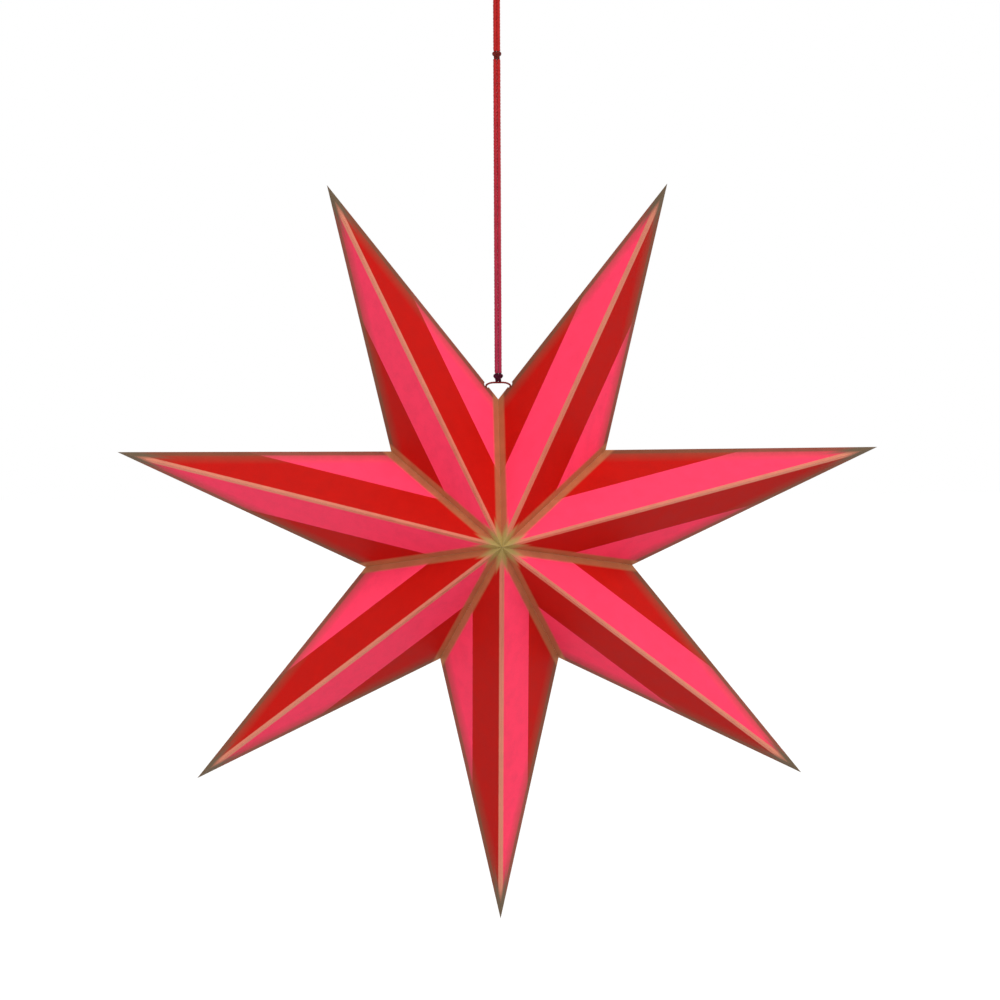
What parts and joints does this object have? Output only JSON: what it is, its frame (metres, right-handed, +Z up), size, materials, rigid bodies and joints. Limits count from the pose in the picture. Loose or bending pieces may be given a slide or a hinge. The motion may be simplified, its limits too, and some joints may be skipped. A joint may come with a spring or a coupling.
{
  "type": "hanging paper star",
  "caption": "Folding paper star of printed card with pointed arms in two-colour stripes and gold creases, tied at a seam and hung from a doubled cotton cord with a loop.",
  "frame": {"origin": "the hang point, inside the top of the cord loop where a hook bears", "axes": "+Z up, the star facing -Y, +X to the right as seen from the front; the cord hangs down the Z axis and the star lies in the plane of X and Z"},
  "size_m": [0.5894, 0.162, 0.7643],
  "materials": {
    "printed_card": "satin print",
    "cotton_cord": "twisted cotton",
    "knotted_cotton": "twisted cotton",
    "tie_cotton": "thin cotton string"
  },
  "bodies": {
    "hanger": {"hanging_cord": "cotton_cord", "hanging_loop": "cotton_cord", "top_knot": "knotted_cotton"},
    "arm_1_front_left": {"arm_1_front_left": "printed_card", "main_knot": "knotted_cotton", "tie_string_right": "tie_cotton"},
    "arm_1_front_right": {"arm_1_front_right": "printed_card"},
    "arm_1_back_left": {"arm_1_back_left": "printed_card"},
    "arm_1_back_right": {"arm_1_back_right": "printed_card"},
    "arm_2_front_left": {"arm_2_front_left": "printed_card"},
    "arm_2_front_right": {"arm_2_front_right": "printed_card"},
    "arm_2_back_left": {"arm_2_back_left": "printed_card"},
    "arm_2_back_right": {"arm_2_back_right": "printed_card"},
    "arm_3_front_left": {"arm_3_front_left": "printed_card"},
    "arm_3_front_right": {"arm_3_front_right": "printed_card"},
    "arm_3_back_left": {"arm_3_back_left": "printed_card"},
    "arm_3_back_right": {"arm_3_back_right": "printed_card"},
    "arm_4_front_left": {"arm_4_front_left": "printed_card"},
    "arm_4_front_right": {"arm_4_front_right": "printed_card"},
    "arm_4_back_left": {"arm_4_back_left": "printed_card"},
    "arm_4_back_right": {"arm_4_back_right": "printed_card"},
    "arm_5_front_left": {"arm_5_front_left": "printed_card"},
    "arm_5_front_right": {"arm_5_front_right": "printed_card"},
    "arm_5_back_left": {"arm_5_back_left": "printed_card"},
    "arm_5_back_right": {"arm_5_back_right": "printed_card"},
    "arm_6_front_left": {"arm_6_front_left": "printed_card"},
    "arm_6_front_right": {"arm_6_front_right": "printed_card"},
    "arm_6_back_left": {"arm_6_back_left": "printed_card"},
    "arm_6_back_right": {"arm_6_back_right": "printed_card"},
    "arm_7_front_left": {"arm_7_front_left": "printed_card"},
    "arm_7_front_right": {"arm_7_front_right": "printed_card", "tie_string_left": "tie_cotton"},
    "arm_7_back_left": {"arm_7_back_left": "printed_card"},
    "arm_7_back_right": {"arm_7_back_right": "printed_card"}
  },
  "joints": [
    {"name": "star_turn", "type": "hinge", "parent": "hanger", "child": "arm_1_front_left", "pos_m": [0, 0, -0.3319], "axis": [0, 0, 1], "range_deg": [-180, 180]},
    {"name": "arm_1_left_edge", "type": "hinge", "parent": "arm_1_front_left", "child": "arm_1_back_left", "pos_m": [0.06569, 0, -0.26876], "axis": [0.62, 0, 0.7846], "range_deg": [0, 75.89]},
    {"name": "arm_1_front_ridge", "type": "hinge", "parent": "arm_1_front_left", "child": "arm_1_front_right", "pos_m": [0.06575, -0.03989, -0.32247], "axis": [0.4191, 0.259, 0.8702], "range_deg": [0, 79.08]},
    {"name": "arm_1_back_ridge", "type": "hinge", "parent": "arm_1_back_left", "child": "arm_1_back_right", "pos_m": [0.06575, 0.03989, -0.32247], "axis": [-0.4191, 0.259, -0.8702], "range_deg": [0, 79.08]},
    {"name": "valley_1_2_front", "type": "hinge", "parent": "arm_1_front_right", "child": "arm_2_front_left", "pos_m": [0.04184, -0.04085, -0.42563], "axis": [-0.6218, -0.6062, -0.4959], "range_deg": [0, 101.23]},
    {"name": "arm_2_left_edge", "type": "hinge", "parent": "arm_2_front_left", "child": "arm_2_back_left", "pos_m": [0.18969, 0, -0.39174], "axis": [1, 0, 0.0045], "range_deg": [0, 75.89]},
    {"name": "arm_2_front_ridge", "type": "hinge", "parent": "arm_2_front_left", "child": "arm_2_front_right", "pos_m": [0.14773, -0.03989, -0.42528], "axis": [0.9416, 0.259, 0.2149], "range_deg": [0, 79.08]},
    {"name": "arm_2_back_ridge", "type": "hinge", "parent": "arm_2_back_left", "child": "arm_2_back_right", "pos_m": [0.14773, 0.03989, -0.42528], "axis": [-0.9416, 0.259, -0.2149], "range_deg": [0, 79.08]},
    {"name": "valley_2_3_back", "type": "hinge", "parent": "arm_2_back_right", "child": "arm_3_back_left", "pos_m": [0.05217, 0.04085, -0.47091], "axis": [0.7754, -0.6062, -0.177], "range_deg": [0, 101.23]},
    {"name": "arm_3_left_edge", "type": "hinge", "parent": "arm_3_back_left", "child": "arm_3_front_left", "pos_m": [0.17085, 0, -0.56538], "axis": [-0.627, 0, 0.779], "range_deg": [0, 75.89]},
    {"name": "arm_3_front_ridge", "type": "hinge", "parent": "arm_3_front_left", "child": "arm_3_front_right", "pos_m": [0.11847, -0.03989, -0.55348], "axis": [0.7551, 0.259, -0.6022], "range_deg": [0, 79.08]},
    {"name": "arm_3_back_ridge", "type": "hinge", "parent": "arm_3_back_left", "child": "arm_3_back_right", "pos_m": [0.11847, 0.03989, -0.55348], "axis": [-0.7551, 0.259, 0.6022], "range_deg": [0, 79.08]},
    {"name": "valley_3_4_front", "type": "hinge", "parent": "arm_3_front_right", "child": "arm_4_front_left", "pos_m": [0.02322, -0.04085, -0.50721], "axis": [-0.3451, -0.6062, 0.7166], "range_deg": [0, 101.23]},
    {"name": "arm_4_left_edge", "type": "hinge", "parent": "arm_4_front_left", "child": "arm_4_back_left", "pos_m": [0.02336, 0, -0.6589], "axis": [-0.2182, 0, -0.9759], "range_deg": [0, 75.89]},
    {"name": "arm_4_front_ridge", "type": "hinge", "parent": "arm_4_front_left", "child": "arm_4_front_right", "pos_m": [0, -0.03989, -0.61053], "axis": [0, 0.259, -0.9659], "range_deg": [0, 79.08]},
    {"name": "arm_4_back_ridge", "type": "hinge", "parent": "arm_4_back_left", "child": "arm_4_back_right", "pos_m": [0, 0.03989, -0.61053], "axis": [0, 0.259, 0.9659], "range_deg": [0, 79.08]},
    {"name": "valley_4_5_back", "type": "hinge", "parent": "arm_4_back_right", "child": "arm_5_back_left", "pos_m": [-0.02322, 0.04085, -0.50721], "axis": [-0.3451, -0.6062, -0.7166], "range_deg": [0, 101.23]},
    {"name": "arm_5_left_edge", "type": "hinge", "parent": "arm_5_back_left", "child": "arm_5_front_left", "pos_m": [-0.14173, 0, -0.6019], "axis": [0.899, 0, 0.4379], "range_deg": [0, 75.89]},
    {"name": "arm_5_front_ridge", "type": "hinge", "parent": "arm_5_front_left", "child": "arm_5_front_right", "pos_m": [-0.11847, -0.03989, -0.55348], "axis": [-0.7551, 0.259, -0.6022], "range_deg": [0, 79.08]},
    {"name": "arm_5_back_ridge", "type": "hinge", "parent": "arm_5_back_left", "child": "arm_5_back_right", "pos_m": [-0.11847, 0.03989, -0.55348], "axis": [0.7551, 0.259, 0.6022], "range_deg": [0, 79.08]},
    {"name": "valley_5_6_front", "type": "hinge", "parent": "arm_5_front_right", "child": "arm_6_front_left", "pos_m": [-0.05217, -0.04085, -0.47091], "axis": [0.7754, -0.6062, 0.177], "range_deg": [0, 101.23]},
    {"name": "arm_6_left_edge", "type": "hinge", "parent": "arm_6_front_left", "child": "arm_6_back_left", "pos_m": [-0.20009, 0, -0.43729], "axis": [-0.9029, 0, 0.4299], "range_deg": [0, 75.89]},
    {"name": "arm_6_front_ridge", "type": "hinge", "parent": "arm_6_front_left", "child": "arm_6_front_right", "pos_m": [-0.14773, -0.03989, -0.42528], "axis": [-0.9416, 0.259, 0.2149], "range_deg": [0, 79.08]},
    {"name": "arm_6_back_ridge", "type": "hinge", "parent": "arm_6_back_left", "child": "arm_6_back_right", "pos_m": [-0.14773, 0.03989, -0.42528], "axis": [0.9416, 0.259, -0.2149], "range_deg": [0, 79.08]},
    {"name": "valley_6_7_back", "type": "hinge", "parent": "arm_6_back_right", "child": "arm_7_back_left", "pos_m": [-0.04184, 0.04085, -0.42563], "axis": [-0.6218, -0.6062, 0.4959], "range_deg": [0, 101.23]},
    {"name": "arm_7_left_edge", "type": "hinge", "parent": "arm_7_back_left", "child": "arm_7_front_left", "pos_m": [-0.10778, 0, -0.28903], "axis": [0.2269, 0, -0.9739], "range_deg": [0, 75.89]},
    {"name": "arm_7_front_ridge", "type": "hinge", "parent": "arm_7_front_left", "child": "arm_7_front_right", "pos_m": [-0.06575, -0.03989, -0.32247], "axis": [-0.4191, 0.259, 0.8702], "range_deg": [0, 79.08]},
    {"name": "arm_7_back_ridge", "type": "hinge", "parent": "arm_7_back_left", "child": "arm_7_back_right", "pos_m": [-0.06575, 0.03989, -0.32247], "axis": [0.4191, 0.259, -0.8702], "range_deg": [0, 79.08]}
  ],
  "couplings": [
    {"joint": "arm_1_left_edge", "follows": "arm_1_front_ridge", "ratio": 0.95965},
    {"joint": "arm_1_back_ridge", "follows": "arm_1_front_ridge", "ratio": 1},
    {"joint": "valley_1_2_front", "follows": "arm_1_front_ridge", "ratio": 1.2801},
    {"joint": "arm_2_left_edge", "follows": "arm_1_front_ridge", "ratio": 0.95965},
    {"joint": "arm_2_front_ridge", "follows": "arm_1_front_ridge", "ratio": 1},
    {"joint": "arm_2_back_ridge", "follows": "arm_1_front_ridge", "ratio": 1},
    {"joint": "valley_2_3_back", "follows": "arm_1_front_ridge", "ratio": 1.2801},
    {"joint": "arm_3_left_edge", "follows": "arm_1_front_ridge", "ratio": 0.95965},
    {"joint": "arm_3_front_ridge", "follows": "arm_1_front_ridge", "ratio": 1},
    {"joint": "arm_3_back_ridge", "follows": "arm_1_front_ridge", "ratio": 1},
    {"joint": "valley_3_4_front", "follows": "arm_1_front_ridge", "ratio": 1.2801},
    {"joint": "arm_4_left_edge", "follows": "arm_1_front_ridge", "ratio": 0.95965},
    {"joint": "arm_4_front_ridge", "follows": "arm_1_front_ridge", "ratio": 1},
    {"joint": "arm_4_back_ridge", "follows": "arm_1_front_ridge", "ratio": 1},
    {"joint": "valley_4_5_back", "follows": "arm_1_front_ridge", "ratio": 1.2801},
    {"joint": "arm_5_left_edge", "follows": "arm_1_front_ridge", "ratio": 0.95965},
    {"joint": "arm_5_front_ridge", "follows": "arm_1_front_ridge", "ratio": 1},
    {"joint": "arm_5_back_ridge", "follows": "arm_1_front_ridge", "ratio": 1},
    {"joint": "valley_5_6_front", "follows": "arm_1_front_ridge", "ratio": 1.2801},
    {"joint": "arm_6_left_edge", "follows": "arm_1_front_ridge", "ratio": 0.95965},
    {"joint": "arm_6_front_ridge", "follows": "arm_1_front_ridge", "ratio": 1},
    {"joint": "arm_6_back_ridge", "follows": "arm_1_front_ridge", "ratio": 1},
    {"joint": "valley_6_7_back", "follows": "arm_1_front_ridge", "ratio": 1.2801},
    {"joint": "arm_7_left_edge", "follows": "arm_1_front_ridge", "ratio": 0.95965},
    {"joint": "arm_7_front_ridge", "follows": "arm_1_front_ridge", "ratio": 1},
    {"joint": "arm_7_back_ridge", "follows": "arm_1_front_ridge", "ratio": 1}
  ]
}
